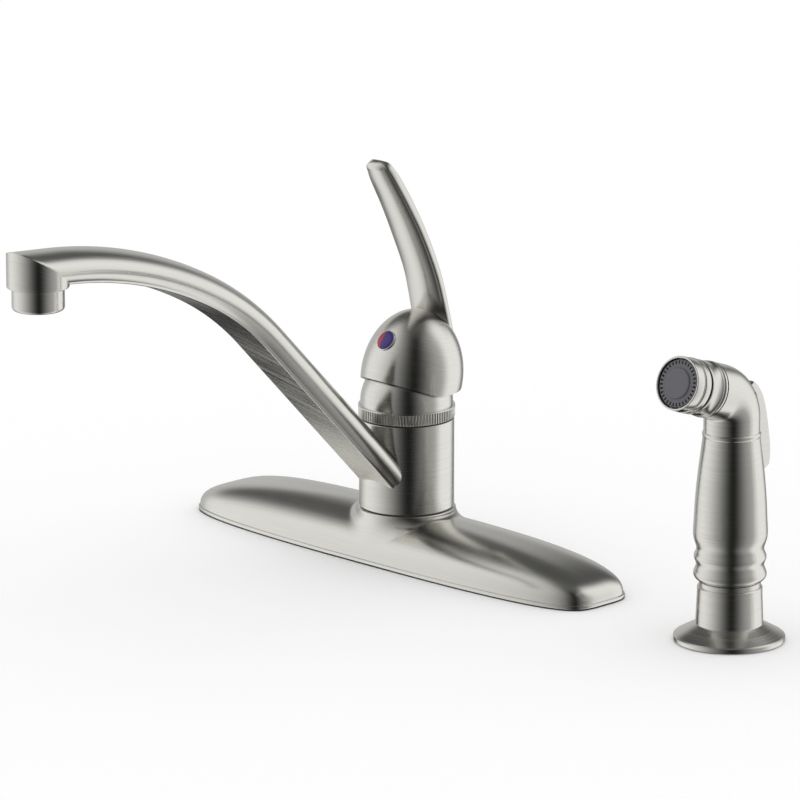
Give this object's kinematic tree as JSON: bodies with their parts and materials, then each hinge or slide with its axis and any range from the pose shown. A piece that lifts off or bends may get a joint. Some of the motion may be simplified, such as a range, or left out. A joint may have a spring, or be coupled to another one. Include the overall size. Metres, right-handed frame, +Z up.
{
  "type": "kitchen faucet",
  "caption": "Kitchen faucet with a hooded lever and a rising swing spout on an oval deck plate, and a side spray in its own holder.",
  "frame": {"origin": "centre of the deck plate's underside, on the deck", "axes": "+X along the plate towards the side spray, -Y towards the user (the spout side), +Z up"},
  "size_m": [0.3578, 0.2717, 0.2396],
  "materials": {
    "brushed_nickel": "brushed nickel",
    "plated_plastic": "nickel plating, brushed",
    "brass": "cast and machined",
    "steel": "machined",
    "rubber": "moulded",
    "white_plastic": "moulded",
    "grey_plastic": "moulded",
    "dark_face": "moulded",
    "ceramic": "ground",
    "index_colours": "red and blue halves"
  },
  "bodies": {
    "base": {"deck_plate": "brushed_nickel", "plate_gasket": "rubber", "valve_body": "brass", "supply_shank_left": "brass", "supply_shank_right": "brass", "shank_washers": "grey_plastic", "shank_nuts": "grey_plastic", "spray_nipple": "brass", "spout_seals": "rubber", "diverter_seat": "brass", "lower_glide_ring": "white_plastic", "upper_glide_ring": "white_plastic", "bonnet": "brushed_nickel", "cartridge_housing": "white_plastic", "inlet_seals": "rubber", "fixed_disc": "ceramic", "cartridge_nut": "brass", "spray_holder": "brushed_nickel", "holder_gasket": "rubber", "holder_nut": "grey_plastic"},
    "spout": {"spout": "brushed_nickel", "aerator_housing": "brushed_nickel", "aerator_screen": "grey_plastic", "aerator_washer": "rubber"},
    "diverter": {"diverter_piston": "white_plastic"},
    "rotor": {"cartridge_rotor": "white_plastic", "pivot_pin": "steel"},
    "handle": {"stem": "steel", "handle": "brushed_nickel", "set_screw": "steel", "index_button": "index_colours"},
    "disc": {"moving_disc": "ceramic", "disc_carrier": "white_plastic"},
    "spray_coupling": {"hose_coupling": "brushed_nickel", "coupling_seal": "rubber"},
    "spray_head": {"spray_body": "plated_plastic", "nozzle_collar": "brushed_nickel", "nozzle_ring": "brushed_nickel", "spray_face": "dark_face", "face_plug": "grey_plastic", "trigger_pin": "steel"},
    "trigger": {"trigger": "plated_plastic"},
    "plunger": {"plunger": "grey_plastic"}
  },
  "joints": [
    {"name": "spout_swivel", "type": "hinge", "parent": "base", "child": "spout", "pos_m": [0, 0, 0], "axis": [0, 0, -1], "range_deg": [-120, 120]},
    {"name": "diverter_travel", "type": "slide", "parent": "base", "child": "diverter", "axis": [0, 0, 1], "range_m": [0, 0.0025]},
    {"name": "handle_swing", "type": "hinge", "parent": "base", "child": "rotor", "pos_m": [0, 0, 0.0732], "axis": [0, 0, 1], "range_deg": [-45, 45]},
    {"name": "handle_lift", "type": "hinge", "parent": "rotor", "child": "handle", "pos_m": [0, 0, 0.0732], "axis": [1, 0, 0], "range_deg": [0, 22]},
    {"name": "disc_travel", "type": "slide", "parent": "rotor", "child": "disc", "axis": [0, 1, 0], "range_m": [0, 0.0045]},
    {"name": "spray_lift", "type": "slide", "parent": "base", "child": "spray_coupling", "axis": [0, 0, 1], "range_m": [0, 0.2]},
    {"name": "spray_turn", "type": "hinge", "parent": "spray_coupling", "child": "spray_head", "pos_m": [0.2032, 0, 0.03], "axis": [0, 0, 1], "continuous": true},
    {"name": "trigger_press", "type": "hinge", "parent": "spray_head", "child": "trigger", "pos_m": [0.2032, 0.0046, 0.1136], "axis": [-1, 0, 0], "range_deg": [0, 5.5], "stiffness_Nm_per_rad": 1.5, "springref_deg": -5.73},
    {"name": "plunger_travel", "type": "slide", "parent": "spray_head", "child": "plunger", "axis": [0, -1, 0], "range_m": [0, 0.0029]}
  ],
  "couplings": [
    {"joint": "disc_travel", "follows": "handle_lift", "m_per_rad": 0.01143},
    {"joint": "plunger_travel", "follows": "trigger_press", "m_per_rad": 0.0296}
  ]
}
